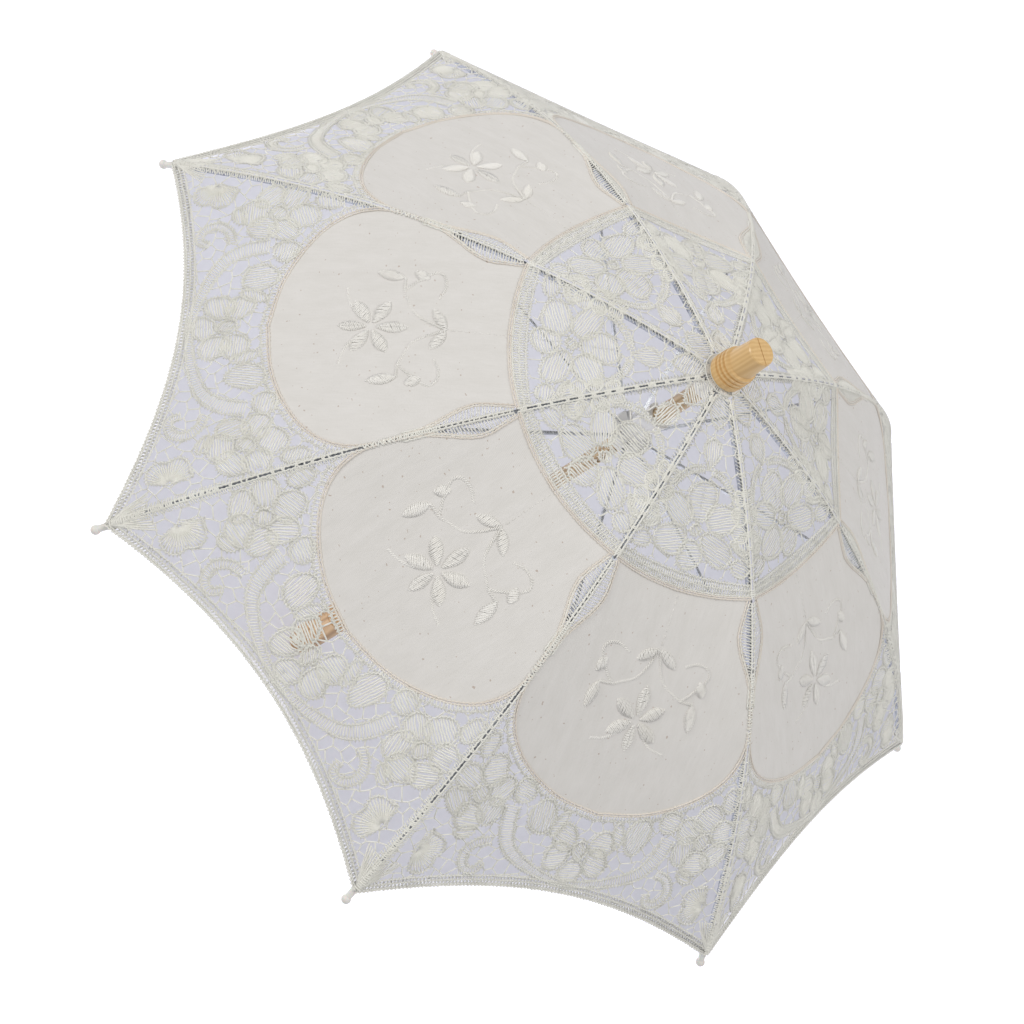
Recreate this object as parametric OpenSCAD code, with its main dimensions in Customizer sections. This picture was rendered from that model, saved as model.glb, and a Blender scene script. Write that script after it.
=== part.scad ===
// Lace parasol, open, upright: +Z runs along the shaft towards the finial.
// The origin is on the shaft's axis, at the middle of the handle's straight grip.

/* [Cover] */
// Horizontal distance from the shaft's axis to the cover's corner at a rib end
cover_r = 240; // [200:1:280]
// Height of the cover's crown above the middle of the grip
crown_z = 405; // [380:1:460]
// Slope of the cover at the crown, as a share of the radius
dome_a = 0.1501; // [0.13:0.001:0.17]
// Part of the dome's drop that grows with the square of the radius
dome_b = 0.2654; // [0.24:0.001:0.29]
// Part of the dome's drop that grows with the cube of the radius
dome_c = 0.1177; // [0.1:0.001:0.13]
// How far the hem's middle runs in from a straight line between two rib ends, as a share of the radius
hem_dip = 0.058; // [0.03:0.002:0.1]
// Thickness of the cover's solid
cover_t = 0.8; // [0.6:0.1:1]
// How far the cloth sinks between two ribs
cover_sag = 3; // [0:0.5:5]

/* [Frame] */
// Radius of the wooden shaft
shaft_r = 4; // [3.8:0.1:4.2]
// Width of a rib's channel
rib_w = 1.8; // [1.8:0.1:2.2]
// Where a stretcher meets its rib, as a share of the cover's radius
joint_share = 0.52; // [0.5:0.01:0.54]
// Height of the runner's flange below the crown, at its middle
ring_drop = 71; // [66:1:76]
// Distance from the axis to the inner end of a stretcher
ring_r = 9.6; // [9.4:0.1:10]

/* [Handle and finial] */
// Radius of the handle's straight grip
grip_r = 9; // [8:0.5:10]
// Length of the handle's straight grip
grip_l = 50; // [40:1:60]
// Length of the finial
finial_l = 24.5; // [22:0.5:27]
// Radius of the finial's base
finial_r = 9; // [8:0.5:10]

/* [Hidden] */
RIB_COUNT = 8;
$fn = 48;
eps = 0.01;

// Angles
gore_a = 360 / RIB_COUNT;
catch_a = -gore_a / 2;

// Notch and crown disc, measured down from the crown
crown_disc_r = 9.9;
crown_disc_t = 1;
notch_r = 9.5;
notch_bottom = 9.5;
notch_collar_r = 6.2;
notch_collar_bottom = 15;
notch_slot_w = 2.8;
notch_slot_floor_r = 5.2;
pivot_r = 7;
pivot_drop = 5;
wire_r = 0.4;
eye_bore_r = 0.5;
eye_r = 1.3;
cross_pin_r = 0.75;

// Ribs
rib_h = 2;
rib_wall = 0.4;
rib_gap = 0.8;
rib_depth = cover_t / 2 + rib_gap + rib_h / 2;
rib_start_r = 11;
rib_end_r = 0.985 * cover_r;
rib_steps = 20;
root_plate_t = 1.2;
root_plate_overlap = 3;
tang_r = 0.8;
tang_l = 7;

// Rib caps
cap_r = 1.6;
cap_l = 9.5;
cap_ball_r = 2.2;
cap_gap = 0.3;

// Stretchers and rivets
ear_t = 0.5;
ear_gap = 0.15;
ear_r = 1.3;
rivet_r = 0.5;
rivet_bore_r = 0.56;
rivet_head_r = 0.95;
rivet_head_t = 0.3;
fork_l = 9;
fork_block_l = 3;
stretcher_w = 1.4;
stretcher_h = 1.4;
tongue_t = 1.2;
tongue_l = 9;
tongue_end_r = 0.8;

// Runner
runner_bore_r = shaft_r + 0.1;
sleeve_r = 5.5;
sleeve_top = ring_drop - 23;
flange_r = 10.8;
flange_h = 5;
flange_slot_w = 1.9;
flange_slot_floor_r = 5.8;
flange_wire_r = 6.1;
flange_wire_t = 0.3;
runner_slit_w = 2.2;
flange_bottom = ring_drop + flange_h / 2;

// Catch
catch_t = 1.4;
catch_slot_w = 1.8;
catch_pin_r = 0.6;
catch_bore_r = 0.65;
catch_eye_r = 1.6;
catch_reach = 9.5;
nose_top = flange_bottom + 0.4;
nose_h = 4.6;
nose_tip_h = 2.2;
leaf_w = 1.3;
catch_pivot = nose_top + 24;
catch_slot_top = nose_top - 2;
catch_slot_bottom = catch_pivot + 4;

// Handle and shaft, measured up from the origin
handle_end = -grip_l / 2 - 10;
handle_top = grip_l / 2 + 37;
shaft_bottom = -10;
finial_bore_l = 12;
// Fine saw cut across the finial's flat end
kerf_w = 0.4;
kerf_depth = 0.7;

// Cover panels
panel_inner_r = 10.3;
panel_gap = 0.3;
panel_rows = 12;
panel_columns = 6;

// The dome: how far the cover lies below the crown at radius r, and its slope there
function drop(r) = cover_r * (dome_a * (r / cover_r) + dome_b * pow(r / cover_r, 2)
    + dome_c * pow(r / cover_r, 3));
function slope(r) = atan(dome_a + 2 * dome_b * (r / cover_r) + 3 * dome_c * pow(r / cover_r, 2));

// A point in a rib's own plane, a distance below the cover's surface: [radius, height from crown]
function below_cover(r, depth) = [
    r - depth * sin(slope(r)),
    -drop(r) - depth * cos(slope(r))
];
pivot = [pivot_r, -pivot_drop];
joint = below_cover(joint_share * cover_r, rib_depth);
ring_end = [ring_r, -ring_drop];
stretcher_len = norm(ring_end - joint);
stretcher_tilt = atan2(ring_end[1] - joint[1], ring_end[0] - joint[0]);

module at_crown() {
    translate([0, 0, crown_z]) children();
}

module at_rib(k) {
    at_crown() rotate([0, 0, (k - 1) * gore_a]) children();
}

// Stands a flat outline drawn as [radius, height] up in the rib's plane
module in_rib_plane(thickness) {
    rotate([90, 0, 0]) linear_extrude(thickness, center = true) children();
}

module cross_bore(at, r, length) {
    translate([at[0], 0, at[1]]) rotate([90, 0, 0]) cylinder(r = r, h = length, center = true);
}

module ring(major_r, minor_r, angle = 360) {
    rotate_extrude(angle = angle, $fn = 72) translate([major_r, 0]) circle(minor_r, $fn = 16);
}

// Runs one closed outline along a list of rings of points. An outline goes out along one side
// and back along the other, so that a cap is a strip between the two sides.
function two_triangles(a, b, c, d) = [[a, b, c], [a, c, d]];
module skin_between(rings) {
    n = len(rings[0]);
    end = (len(rings) - 1) * n;
    sides = [for (i = [0:len(rings) - 2], j = [0:n - 1])
        each two_triangles(i * n + j, i * n + (j + 1) % n, (i + 1) * n + (j + 1) % n,
            (i + 1) * n + j)];
    first = [for (j = [0:n / 2 - 2]) each two_triangles(j, n - 1 - j, n - 2 - j, j + 1)];
    last = [for (j = [0:n / 2 - 2])
        each two_triangles(end + j, end + j + 1, end + n - 2 - j, end + n - 1 - j)];
    polyhedron([for (one = rings) each one], concat(sides, first, last), convexity = 4);
}

module shaft() {
    color([0.72, 0.56, 0.38]) difference() {
        translate([0, 0, shaft_bottom])
            cylinder(r = shaft_r, h = crown_z + finial_bore_l - shaft_bottom);
        at_crown() rotate([0, 0, catch_a]) {
            translate([-shaft_r - 1, -catch_slot_w / 2, -catch_slot_bottom])
                cube([2 * shaft_r + 2, catch_slot_w, catch_slot_bottom - catch_slot_top]);
            cross_bore([0, -catch_pivot], catch_pin_r, 2 * shaft_r + 2);
        }
        at_crown() cross_bore([0, -notch_pin_drop()], cross_pin_r, 2 * shaft_r + 2);
    }
}

function notch_pin_drop() = (notch_bottom + notch_collar_bottom) / 2;

module handle() {
    g = grip_l / 2;
    color([0.71, 0.53, 0.35]) difference() {
        rotate_extrude() polygon([
            [0, handle_end],
            [grip_r - 4, handle_end],
            [grip_r - 1.5, handle_end + 1.2],
            [grip_r - 0.3, handle_end + 4],
            [grip_r - 0.3, handle_end + 7.5],
            [grip_r - 1, handle_end + 8.2],
            [grip_r - 0.3, handle_end + 9],
            [grip_r, -g],
            [grip_r, g],
            [grip_r - 1, g + 0.8],
            [grip_r, g + 1.6],
            [grip_r + 0.8, g + 4],
            [grip_r, g + 6.4],
            [grip_r - 1, g + 7.2],
            [grip_r - 0.4, g + 8.5],
            [grip_r - 1.4, g + 16],
            [grip_r - 2.6, g + 24],
            [grip_r - 3.2, g + 28],
            [grip_r - 1.8, g + 30],
            [grip_r - 1.4, g + 32],
            [grip_r - 1.8, g + 34],
            [grip_r - 3, g + 35],
            [shaft_r + 1, handle_top],
            [0, handle_top]
        ]);
        translate([0, 0, shaft_bottom]) cylinder(r = shaft_r, h = handle_top - shaft_bottom + 1);
    }
}

// Turned finial: foot, two grooves, shoulder, and a body that narrows to a flat top
module finial() {
    r = finial_r;
    color([0.9, 0.73, 0.45]) at_crown() difference() {
        rotate_extrude() polygon([
            [0, 0],
            [r - 0.8, 0],
            [r - 0.2, 0.7],
            [r, 2.6],
            [r - 0.1, 4],
            [r - 1.1, 4.4],
            [r - 1.1, 4.8],
            [r - 0.1, 5.2],
            [r - 0.1, 6.4],
            [r - 1.1, 6.8],
            [r - 1.1, 7.2],
            [r - 0.2, 7.6],
            [r - 0.2, 8.7],
            [r - 1.2, 9.1],
            [r - 1.2, 9.5],
            [r - 0.4, 9.9],
            [r - 0.6, 11],
            [r - 1.7, 11.7],
            [r - 2.4, finial_l - 0.6],
            [r - 2.8, finial_l],
            [0, finial_l]
        ]);
        translate([-r, -kerf_w / 2, finial_l - kerf_depth]) cube([2 * r, kerf_w, 2]);
        translate([0, 0, -1]) cylinder(r = shaft_r, h = finial_bore_l + 1);
    }
}

module canopy_crown() {
    color([0.92, 0.9, 0.86]) at_crown() difference() {
        translate([0, 0, -crown_disc_t]) cylinder(r = crown_disc_r, h = crown_disc_t);
        translate([0, 0, -crown_disc_t - 1]) cylinder(r = shaft_r, h = crown_disc_t + 2);
    }
}

module top_notch() {
    color([0.9, 0.9, 0.88]) at_crown() difference() {
        union() {
            translate([0, 0, -notch_bottom])
                cylinder(r = notch_r, h = notch_bottom - crown_disc_t);
            translate([0, 0, -notch_collar_bottom])
                cylinder(r = notch_collar_r, h = notch_collar_bottom - notch_bottom + eps);
        }
        translate([0, 0, -notch_collar_bottom - 1]) cylinder(r = shaft_r, h = notch_collar_bottom);
        for (k = [1:RIB_COUNT]) rotate([0, 0, (k - 1) * gore_a])
            translate([notch_slot_floor_r, -notch_slot_w / 2, -notch_bottom - 1])
                cube([notch_r, notch_slot_w, notch_bottom + 2]);
        translate([0, 0, -pivot_drop]) ring(pivot_r, wire_r);
        cross_bore([0, -notch_pin_drop()], cross_pin_r, 2 * notch_collar_r + 2);
    }
}

module notch_wire() {
    color([0.6, 0.6, 0.62]) at_crown() translate([0, 0, -pivot_drop]) ring(pivot_r, wire_r);
}

module notch_pin() {
    color([0.6, 0.6, 0.62]) at_crown()
        cross_bore([0, -notch_pin_drop()], cross_pin_r, 2 * notch_collar_r);
}

// The leaf stands in the shaft's slot and its nose sticks out just under the runner
module catch() {
    color([0.08, 0.08, 0.08]) at_crown() rotate([0, 0, catch_a]) difference() {
        in_rib_plane(catch_t) union() {
            translate([0, -catch_pivot]) circle(catch_eye_r);
            polygon([
                [-leaf_w / 2, -catch_pivot],
                [leaf_w / 2, -catch_pivot],
                [2 + leaf_w / 2, -nose_top - nose_h],
                [catch_reach - 1, -nose_top - nose_tip_h],
                [catch_reach, -nose_top - nose_tip_h + 0.6],
                [catch_reach, -nose_top - 0.3],
                [catch_reach - 0.6, -nose_top],
                [2 - leaf_w / 2, -nose_top]
            ]);
        }
        cross_bore([0, -catch_pivot], catch_bore_r, catch_t + 1);
    }
}

module catch_pin() {
    color([0.6, 0.6, 0.62]) at_crown() rotate([0, 0, catch_a])
        cross_bore([0, -catch_pivot], catch_pin_r, 2 * shaft_r - 0.6);
}

// Sleeve and slotted flange; a slit down one side lets the catch's nose through
module runner() {
    color([0.88, 0.88, 0.87]) at_crown() difference() {
        union() {
            translate([0, 0, -flange_bottom]) cylinder(r = flange_r, h = flange_h);
            translate([0, 0, -flange_bottom]) cylinder(r = sleeve_r, h = flange_bottom - sleeve_top);
            translate([0, 0, -sleeve_top - 2.5]) cylinder(r = sleeve_r + 1, h = 2.5);
        }
        translate([0, 0, -flange_bottom - 1])
            cylinder(r = runner_bore_r, h = flange_bottom - sleeve_top + 2);
        for (k = [1:RIB_COUNT]) rotate([0, 0, (k - 1) * gore_a])
            translate([flange_slot_floor_r, -flange_slot_w / 2, -flange_bottom - 1])
                cube([flange_r, flange_slot_w, flange_h + 2]);
        rotate([0, 0, catch_a]) translate([0, -runner_slit_w / 2, -flange_bottom - 1])
            cube([flange_r + 1, runner_slit_w, flange_bottom - sleeve_top + 2]);
        translate([0, 0, -ring_drop]) ring(flange_wire_r, flange_wire_t);
    }
}

// An open ring: its two ends stop at either side of the runner's slit
module runner_wire() {
    gap_a = 2 * asin((runner_slit_w / 2 + 0.3) / flange_wire_r);
    color([0.6, 0.6, 0.62]) at_crown() translate([0, 0, -ring_drop])
        rotate([0, 0, catch_a + gap_a / 2]) ring(flange_wire_r, flange_wire_t, 360 - gap_a);
}

// One ring of a rib's channel, open towards the shaft
function channel_ring(r) = [
    for (p = [
        [-rib_w / 2, -rib_h / 2],
        [-rib_w / 2, rib_h / 2],
        [rib_w / 2, rib_h / 2],
        [rib_w / 2, -rib_h / 2],
        [rib_w / 2 - rib_wall, -rib_h / 2],
        [rib_w / 2 - rib_wall, rib_h / 2 - rib_wall],
        [-rib_w / 2 + rib_wall, rib_h / 2 - rib_wall],
        [-rib_w / 2 + rib_wall, -rib_h / 2]
    ])
    let (at = below_cover(r, rib_depth - p[1])) [at[0], p[0], at[1]]
];

module rib(k) {
    root = below_cover(rib_start_r + root_plate_overlap, rib_depth);
    half = rib_h / 2 - rib_wall - 0.1;
    end = below_cover(rib_end_r, rib_depth);
    color([0.55, 0.56, 0.58]) at_rib(k) {
        skin_between([for (i = [0:rib_steps])
            channel_ring(rib_start_r + (rib_end_r - rib_start_r) * i / rib_steps)]);
        difference() {
            in_rib_plane(root_plate_t) union() {
                translate(pivot) circle(eye_r);
                polygon([
                    pivot + [0, -half],
                    root + [0, -half],
                    root + [0, half + rib_wall / 2 + 0.1],
                    pivot + [0, half]
                ]);
            }
            cross_bore(pivot, eye_bore_r, root_plate_t + 1);
        }
        translate([end[0], 0, end[1]]) rotate([0, 90 + slope(rib_end_r), 0])
            translate([0, 0, -1]) cylinder(r = tang_r, h = tang_l + 1);
    }
}

module tip(k) {
    end = below_cover(rib_end_r, rib_depth);
    color([0.95, 0.95, 0.94]) at_rib(k) translate([end[0], 0, end[1]])
        rotate([0, 90 + slope(rib_end_r), 0]) difference() {
            union() {
                translate([0, 0, cap_gap]) cylinder(r = cap_r, h = cap_l);
                translate([0, 0, cap_gap + cap_l]) sphere(cap_ball_r);
            }
            translate([0, 0, -1]) cylinder(r = tang_r, h = tang_l + 1);
        }
}

module rivet(k) {
    half = rib_w / 2 + ear_gap + ear_t + 0.1;
    color([0.75, 0.75, 0.77]) at_rib(k) {
        cross_bore(joint, rivet_r, 2 * half);
        for (side = [-1, 1]) translate([joint[0], side * (half + rivet_head_t / 2), joint[1]])
            rotate([90, 0, 0]) cylinder(r = rivet_head_r, h = rivet_head_t, center = true);
    }
}

// Straight channel; a fork straddles the rib, and a flat tongue enters the flange's slot
module stretcher(k) {
    inner = rib_w / 2 + ear_gap;
    body_l = stretcher_len - fork_l - tongue_l + 2;
    color([0.62, 0.63, 0.65]) at_rib(k) translate([joint[0], 0, joint[1]])
        rotate([0, -stretcher_tilt, 0]) {
            difference() {
                union() {
                    for (side = [-1, 1]) translate([0, side * (inner + ear_t / 2), 0]) {
                        rotate([90, 0, 0]) cylinder(r = ear_r, h = ear_t, center = true);
                        translate([0, -ear_t / 2, -stretcher_h / 2])
                            cube([fork_l, ear_t, stretcher_h]);
                    }
                    translate([fork_l - fork_block_l, -inner - ear_t, -stretcher_h / 2])
                        cube([fork_block_l, 2 * (inner + ear_t), stretcher_h]);
                }
                cross_bore([0, 0], rivet_bore_r, 2 * (inner + ear_t) + 1);
            }
            difference() {
                translate([fork_l - 1, -stretcher_w / 2, -stretcher_h / 2])
                    cube([body_l, stretcher_w, stretcher_h]);
                translate([fork_l + 0.5, -stretcher_w / 2 + rib_wall, -stretcher_h / 2 + rib_wall])
                    cube([body_l - 3, stretcher_w - 2 * rib_wall, stretcher_h]);
            }
            translate([stretcher_len - tongue_l, -tongue_t / 2, -tongue_end_r])
                cube([tongue_l, tongue_t, 2 * tongue_end_r]);
            translate([stretcher_len, 0, 0]) rotate([90, 0, 0])
                cylinder(r = tongue_end_r, h = tongue_t, center = true);
        }
}

// A point of the cover: u runs from -1 to 1, from mid-gore to mid-gore across the rib at 0.
// Between two ribs the cloth runs straight at equal r, and sinks a little.
function hem_r(u) = cover_r * (1 - hem_dip * (1 - pow(1 - abs(u), 2)));
function sag(r, u) = cover_sag * sin(90 * abs(u)) * sin(180 * min(1, r / cover_r));
function cover_point(r, u, lift) = [
    r * (1 - abs(u) * (1 - cos(gore_a)) / 2) + lift * sin(slope(r))
        + abs(u) * panel_gap / 2 * sin(gore_a / 2),
    r * u * sin(gore_a) / 2 - u * panel_gap / 2 * cos(gore_a / 2),
    -drop(r) - sag(r, u) + lift * cos(slope(r))
];

// One ring of the panel runs out over the top at one u and back under it
function panel_ring(u) = [
    for (i = [0:panel_rows])
        cover_point(panel_inner_r + (hem_r(u) - panel_inner_r) * i / panel_rows, u, cover_t / 2),
    for (i = [panel_rows:-1:0])
        cover_point(panel_inner_r + (hem_r(u) - panel_inner_r) * i / panel_rows, u, -cover_t / 2)
];

module canopy(k) {
    color([0.93, 0.92, 0.88]) at_rib(k)
        skin_between([for (j = [-panel_columns:panel_columns]) panel_ring(j / panel_columns)]);
}

shaft();
handle();
finial();
canopy_crown();
top_notch();
notch_wire();
notch_pin();
catch();
catch_pin();
runner();
runner_wire();
for (k = [1:RIB_COUNT]) {
    rib(k);
    tip(k);
    rivet(k);
    stretcher(k);
    canopy(k);
}
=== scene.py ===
"""The looks of the lace parasol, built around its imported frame.

The cover is drawn once, as one gore between two ribs, in flat coordinates: x across the gore from
its middle and m along it from the crown, both in millimetres. Each thread is then laid on the curved
cover, split at the middle of the gore, and given to the rib that carries it, so that every rib's share
of lace, cotton and embroidery folds with that rib.
"""

import math

import bpy
import numpy as np
from mathutils import Matrix, Vector


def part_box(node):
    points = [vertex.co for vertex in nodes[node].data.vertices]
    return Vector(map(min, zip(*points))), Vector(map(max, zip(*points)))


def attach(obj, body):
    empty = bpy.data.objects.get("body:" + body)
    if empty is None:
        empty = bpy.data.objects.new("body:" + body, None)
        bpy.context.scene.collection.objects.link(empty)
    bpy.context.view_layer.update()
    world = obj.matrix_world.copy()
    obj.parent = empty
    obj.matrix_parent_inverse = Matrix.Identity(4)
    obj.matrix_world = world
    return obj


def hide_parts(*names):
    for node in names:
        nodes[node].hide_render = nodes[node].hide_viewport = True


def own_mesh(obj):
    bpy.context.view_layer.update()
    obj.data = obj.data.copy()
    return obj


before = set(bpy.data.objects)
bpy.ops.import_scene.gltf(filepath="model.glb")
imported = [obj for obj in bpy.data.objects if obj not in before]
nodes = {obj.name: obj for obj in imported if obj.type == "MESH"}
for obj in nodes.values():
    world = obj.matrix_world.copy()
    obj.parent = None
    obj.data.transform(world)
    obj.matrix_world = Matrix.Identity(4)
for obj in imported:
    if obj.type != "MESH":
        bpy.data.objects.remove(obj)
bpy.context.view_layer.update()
rng = np.random.default_rng(11)

MM = 0.001
RIBS = 8
STEP = 2 * math.pi / RIBS
SIN_HALF, COS_HALF = math.sin(STEP / 2), math.cos(STEP / 2)

# The cover's own curve, as in the CAD source
COVER_R = 240.0
CROWN_Z = 405.0
DOME = (0.1501, 0.2654, 0.1177)
SAG = 3.0
HEM_MID_R, HEM_DIP_R = 226.0, 14.0
CROWN_EDGE_R = 10.9

# Thread radii
FINE, THREAD, CORD = 0.3, 0.38, 0.46


# ---------------------------------------------------------------- the surface


def drop(r):
    """How far the cover over a rib lies below the crown."""
    s = r / COVER_R
    return COVER_R * (DOME[0] * s + DOME[1] * s**2 + DOME[2] * s**3)


def slope(r):
    """The fall of the cover over a rib for each millimetre outwards."""
    s = r / COVER_R
    return DOME[0] + 2 * DOME[1] * s + 3 * DOME[2] * s**2


R_TABLE = np.linspace(0, 262, 1049)
PACE = np.sqrt(COS_HALF**2 + slope(R_TABLE) ** 2)
M_TABLE = np.concatenate(
    [[0], np.cumsum((PACE[1:] + PACE[:-1]) / 2 * np.diff(R_TABLE))]
)


def arc_of(r):
    """m, the length along the gore's middle, at a rib radius."""
    return np.interp(r, R_TABLE, M_TABLE)


def radius_of(m):
    return np.interp(m, M_TABLE, R_TABLE)


def half_width(r):
    """Half of the gore's width, measured straight across."""
    return r * SIN_HALF


def on_cover(q, r, lift):
    """Points and normals in mm, crown at the origin and the rib along +X; q is the distance from the rib."""
    u = q / np.maximum(half_width(r), 1e-6)
    a = np.minimum(1, np.abs(u))
    sag = SAG * np.sin(math.pi / 2 * a) * np.sin(math.pi * np.minimum(1, r / COVER_R))
    p = np.stack(
        [
            r * (1 - np.abs(u) * (1 - math.cos(STEP)) / 2),
            r * u * math.sin(STEP) / 2,
            -drop(r) - sag,
        ],
        1,
    )
    tilt = np.arctan(slope(r) / COS_HALF)
    side = np.clip(q / 3, -1, 1)
    n = np.stack(
        [np.sin(tilt) * COS_HALF, side * np.sin(tilt) * SIN_HALF, np.cos(tilt)], 1
    )
    n /= np.linalg.norm(n, axis=1)[:, None]
    return p + n * np.asarray(lift)[:, None], n


# ---------------------------------------------------------------- threads


class Threads:
    """The threads of one rib's share of the cover, kept as runs of points, normals and radii."""

    def __init__(self, clear=0.8):
        self.runs = []
        self.clear = clear

    def rib(self, q, r, lift, radius):
        q, r = np.asarray(q, float), np.asarray(r, float)
        if len(q) < 2:
            return
        p, n = on_cover(q, r, np.broadcast_to(np.asarray(lift, float), q.shape))
        self.runs.append((p, n, np.broadcast_to(np.asarray(radius, float), q.shape)))

    def both(self, q, r, lift, radius):
        self.rib(q, r, lift, radius)
        self.rib(-np.asarray(q, float), r, lift, radius)

    def gore(self, path, lift, radius):
        """A path over the gore, in x and m: split at the middle, cut off at the ribs."""
        x, m = path[:, 0], path[:, 1]
        lift = np.broadcast_to(np.asarray(lift, float), x.shape)
        radius = np.broadcast_to(np.asarray(radius, float), x.shape)
        data = np.stack([x, m, lift, radius], 1)
        cross = np.nonzero(x[:-1] * x[1:] < 0)[0]
        if len(cross):
            t = (x[cross] / (x[cross] - x[cross + 1]))[:, None]
            mid = data[cross] * (1 - t) + data[cross + 1] * t
            mid[:, 0] = 0
            data = np.insert(data, cross + 1, mid, 0)
        r = radius_of(data[:, 1])
        room = half_width(r) - self.clear
        for sign in (-1, 1):
            keep = (data[:, 0] * sign >= 0) & (np.abs(data[:, 0]) <= room)
            edges = np.flatnonzero(
                np.diff(np.concatenate([[0], keep.astype(int), [0]]))
            )
            for a, b in zip(edges[::2], edges[1::2]):
                if b - a > 1:
                    part = data[a:b]
                    self.rib(
                        part[:, 0] - sign * half_width(r[a:b]),
                        r[a:b],
                        part[:, 2],
                        part[:, 3],
                    )


def tube_mesh(runs):
    """Vertices and quads of a closed four-sided tube round each run."""
    sides = 4
    p = np.concatenate([a for a, _, _ in runs])
    n = np.concatenate([b for _, b, _ in runs])
    rad = np.concatenate([c for _, _, c in runs])
    count = np.array([len(a) for a, _, _ in runs])
    start = np.concatenate([[0], np.cumsum(count)[:-1]])
    end = start + count - 1
    ahead, back = np.arange(1, len(p) + 1), np.arange(-1, len(p) - 1)
    ahead[end], back[start] = end, start
    t = p[ahead] - p[back]
    t /= np.maximum(np.linalg.norm(t, axis=1), 1e-9)[:, None]
    s = np.cross(t, n)
    s /= np.maximum(np.linalg.norm(s, axis=1), 1e-9)[:, None]
    up = np.cross(s, t)
    ang = np.arange(sides) * 2 * math.pi / sides
    ring = np.cos(ang)[:, None] * s[:, None] + np.sin(ang)[:, None] * up[:, None]
    verts = (p[:, None] + rad[:, None, None] * ring).reshape(-1, 3)
    first = np.setdiff1d(np.arange(len(p)), end)
    k = np.arange(sides)
    k2 = (k + 1) % sides
    a = first[:, None] * sides
    quads = np.stack([a + k, a + sides + k, a + sides + k2, a + k2], 2).reshape(-1, 4)
    near_cap = start[:, None] * sides + k
    far_cap = end[:, None] * sides + k[::-1]
    return verts, np.concatenate([quads, near_cap, far_cap])


def spline(points, step=1.0, closed=False):
    """An even path through points given as x and m."""
    p = np.asarray(points, float)
    if closed:
        p = np.concatenate([p[-1:], p, p[:2]])
    else:
        p = np.concatenate([2 * p[:1] - p[1:2], p, 2 * p[-1:] - p[-2:-1]])
    t = np.linspace(0, 1, 13)[:-1, None]
    out = []
    for a, b, c, d in zip(p[:-3], p[1:-2], p[2:-1], p[3:]):
        out.append(
            0.5
            * (
                2 * b
                + (c - a) * t
                + (2 * a - 5 * b + 4 * c - d) * t**2
                + (3 * b - a - 3 * c + d) * t**3
            )
        )
    out.append(p[-2:-1])
    return even(np.concatenate(out), step)


def zigzag(n, odd=1.0, plain=-1.0):
    """n values that change by turns, with odd at each second place."""
    return np.where(np.arange(n) % 2, odd, plain)


def even(path, step):
    """The same path with its points at equal steps."""
    d = np.concatenate([[0], np.cumsum(np.linalg.norm(np.diff(path, axis=0), axis=1))])
    n = max(2, int(round(d[-1] / step)) + 1)
    s = np.linspace(0, d[-1], n)
    return np.stack([np.interp(s, d, path[:, 0]), np.interp(s, d, path[:, 1])], 1)


def side_of(path):
    """The direction square to a path, at each of its points."""
    t = np.gradient(path, axis=0)
    t /= np.maximum(np.linalg.norm(t, axis=1), 1e-9)[:, None]
    return np.stack([-t[:, 1], t[:, 0]], 1)


def on_gore(points):
    """Points given as x and rib radius, in x and m."""
    p = np.array(points, float).reshape(-1, 2)
    p[:, 1] = arc_of(p[:, 1])
    return p


def mirror(path):
    return path * [-1, 1]


def inside(points, poly):
    """Which points lie in a closed polygon."""
    x, y = points[:, 0][:, None], points[:, 1][:, None]
    a, b = poly, np.roll(poly, -1, 0)
    hit = ((a[:, 1] > y) != (b[:, 1] > y)) & (
        x
        < (b[:, 0] - a[:, 0]) * (y - a[:, 1]) / (b[:, 1] - a[:, 1] + 1e-12) + a[:, 0]
    )
    return hit.sum(1) % 2 == 1


def oval(x, r, w, h, turn=0.0):
    """A lumpy oval, w wide and h high before it is turned."""
    a = np.linspace(0, 2 * math.pi, 22, endpoint=False)
    c, s = np.cos(a), np.sin(a)
    lump = 1 + 0.07 * np.sin(2 * a + 6 * rng.random())
    lump = lump + 0.05 * np.sin(3 * a + 6 * rng.random())
    dx = w / 2 * c * lump
    dr = h / 2 * s * lump
    k, z = math.cos(math.radians(turn)), math.sin(math.radians(turn))
    return on_gore(np.stack([x + dx * k - dr * z, r + dx * z + dr * k], 1))


def leaf(x0, r0, x1, r1, w, blunt=0.75, fat=0.0):
    """A pointed leaf from one end to the other; fat moves its widest place towards the far end."""
    t = np.linspace(0, 1, 10)
    d = np.array([x1 - x0, r1 - r0])
    side = np.array([-d[1], d[0]]) / np.linalg.norm(d)
    wide = w / 2 * np.sin(math.pi * t ** (1 + fat)) ** blunt
    mid = np.array([x0, r0]) + t[:, None] * d
    return on_gore(
        np.concatenate([mid + wide[:, None] * side, (mid - wide[:, None] * side)[-2:0:-1]])
    )


def cord(threads, path, lift=0.3, radius=CORD, step=0.85, wobble=0.36, closed=False, wrap=0.95):
    """A nubbly cord: it swells and sways at each stitch. Zigzag stitches reach wrap to each side."""
    if closed:
        path = np.concatenate([path, path[:1]])
    if wrap:
        z = even(path, 0.72)
        to = zigzag(len(z), wrap, -wrap) + rng.normal(0, 0.1, len(z))
        threads.gore(z + side_of(z) * to[:, None], lift - 0.05, FINE)
    p = even(path, step)
    swing = zigzag(len(p))
    p = p + side_of(p) * (wobble * swing + rng.normal(0, 0.06, len(p)))[:, None]
    threads.gore(p, lift + 0.08 * swing, radius * (1 + 0.12 * swing))


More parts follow.
